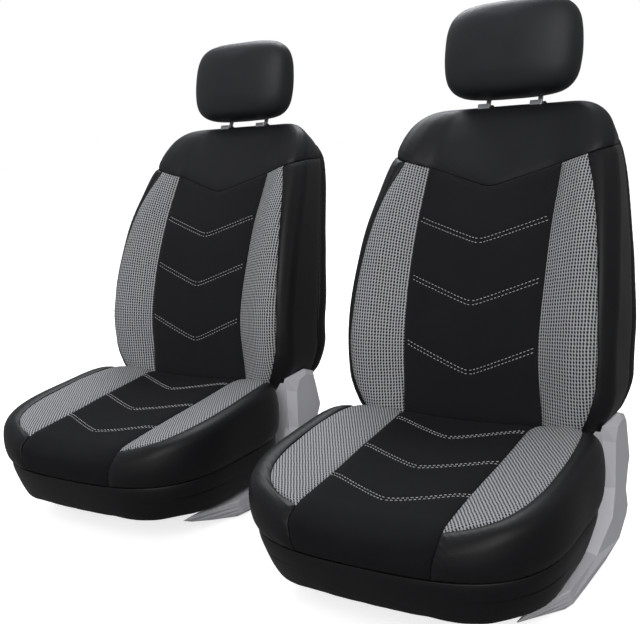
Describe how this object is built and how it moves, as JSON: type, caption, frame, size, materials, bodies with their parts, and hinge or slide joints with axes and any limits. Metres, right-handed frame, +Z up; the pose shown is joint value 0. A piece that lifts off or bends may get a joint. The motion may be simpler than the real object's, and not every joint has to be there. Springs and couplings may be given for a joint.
{
  "type": "seat cover set",
  "caption": "Fitted covers on front vehicle seats: dark leatherette bolsters, grey mesh wings, chevron-stitched centres and padded headrest covers; backrests recline, headrests lift.",
  "frame": {"origin": "On the floor, midway between the two seats and midway along the set from front to rear.", "axes": "+X to the right-hand seat across the vehicle, +Y to the rear of the seats, +Z up."},
  "size_m": [1.298, 0.8763, 1.0261],
  "materials": {
    "cover": "satin",
    "centre": "matte",
    "mesh": "matte",
    "pad": "matte",
    "shield": "satin",
    "steel": "satin",
    "chrome": "polished",
    "silver": "satin",
    "collar": "satin",
    "elastic": "matte"
  },
  "bodies": {
    "seat_bases": {"right_base_frame": "steel", "right_seat_pan": "steel", "right_recliner_tube": "steel", "right_under_strap": "elastic", "right_recliner_bracket_right": "steel", "right_recliner_bracket_left": "steel", "right_side_shield_right": "shield", "right_side_shield_left": "shield", "right_cushion_foam": "pad", "right_cushion_centre_panel": "centre", "right_cushion_skirt": "cover", "right_cushion_mesh_panel_right": "mesh", "right_cushion_bolster_right": "cover", "right_cushion_mesh_panel_left": "mesh", "right_cushion_bolster_left": "cover", "left_base_frame": "steel", "left_seat_pan": "steel", "left_recliner_tube": "steel", "left_under_strap": "elastic", "left_recliner_bracket_right": "steel", "left_recliner_bracket_left": "steel", "left_side_shield_right": "shield", "left_side_shield_left": "shield", "left_cushion_foam": "pad", "left_cushion_centre_panel": "centre", "left_cushion_skirt": "cover", "left_cushion_mesh_panel_right": "mesh", "left_cushion_bolster_right": "cover", "left_cushion_mesh_panel_left": "mesh", "left_cushion_bolster_left": "cover"},
    "right_backrest": {"right_backrest_foam": "pad", "right_backrest_yoke_panel": "cover", "right_backrest_centre_panel": "centre", "right_backrest_rear_panel": "cover", "right_backrest_mesh_panel_right": "mesh", "right_backrest_gusset_right": "cover", "right_backrest_mesh_panel_left": "mesh", "right_backrest_gusset_left": "cover", "right_guide_collar_right": "collar", "right_guide_collar_left": "collar"},
    "right_headrest": {"right_headrest_posts": "chrome", "right_headrest_core": "pad", "right_headrest_cover": "cover"},
    "right_lock_button_right_body": {"right_lock_button_right": "silver"},
    "right_lock_button_left_body": {"right_lock_button_left": "silver"},
    "left_backrest": {"left_backrest_foam": "pad", "left_backrest_yoke_panel": "cover", "left_backrest_centre_panel": "centre", "left_backrest_rear_panel": "cover", "left_backrest_mesh_panel_right": "mesh", "left_backrest_gusset_right": "cover", "left_backrest_mesh_panel_left": "mesh", "left_backrest_gusset_left": "cover", "left_guide_collar_right": "collar", "left_guide_collar_left": "collar"},
    "left_headrest": {"left_headrest_posts": "chrome", "left_headrest_core": "pad", "left_headrest_cover": "cover"},
    "left_lock_button_right_body": {"left_lock_button_right": "silver"},
    "left_lock_button_left_body": {"left_lock_button_left": "silver"}
  },
  "joints": [
    {"name": "right_recline", "type": "hinge", "parent": "seat_bases", "child": "right_backrest", "pos_m": [0.368, 0.1008, 0.207], "axis": [-1, 0, 0], "range_deg": [0, 50]},
    {"name": "right_headrest_height", "type": "slide", "parent": "right_backrest", "child": "right_headrest", "axis": [0, 0.4067, 0.9135], "range_m": [0, 0.06]},
    {"name": "right_lock_button_right_press", "type": "slide", "parent": "right_backrest", "child": "right_lock_button_right_body", "axis": [0, 0.9135, -0.4067], "range_m": [0, 0.003], "stiffness_N_per_m": 300, "springref_m": -0.001},
    {"name": "right_lock_button_left_press", "type": "slide", "parent": "right_backrest", "child": "right_lock_button_left_body", "axis": [0, 0.9135, -0.4067], "range_m": [0, 0.003], "stiffness_N_per_m": 300, "springref_m": -0.001},
    {"name": "left_recline", "type": "hinge", "parent": "seat_bases", "child": "left_backrest", "pos_m": [-0.368, 0.1848, 0.207], "axis": [-1, 0, 0], "range_deg": [0, 50]},
    {"name": "left_headrest_height", "type": "slide", "parent": "left_backrest", "child": "left_headrest", "axis": [0, 0.4067, 0.9135], "range_m": [0, 0.06]},
    {"name": "left_lock_button_right_press", "type": "slide", "parent": "left_backrest", "child": "left_lock_button_right_body", "axis": [0, 0.9135, -0.4067], "range_m": [0, 0.003], "stiffness_N_per_m": 300, "springref_m": -0.001},
    {"name": "left_lock_button_left_press", "type": "slide", "parent": "left_backrest", "child": "left_lock_button_left_body", "axis": [0, 0.9135, -0.4067], "range_m": [0, 0.003], "stiffness_N_per_m": 300, "springref_m": -0.001}
  ]
}
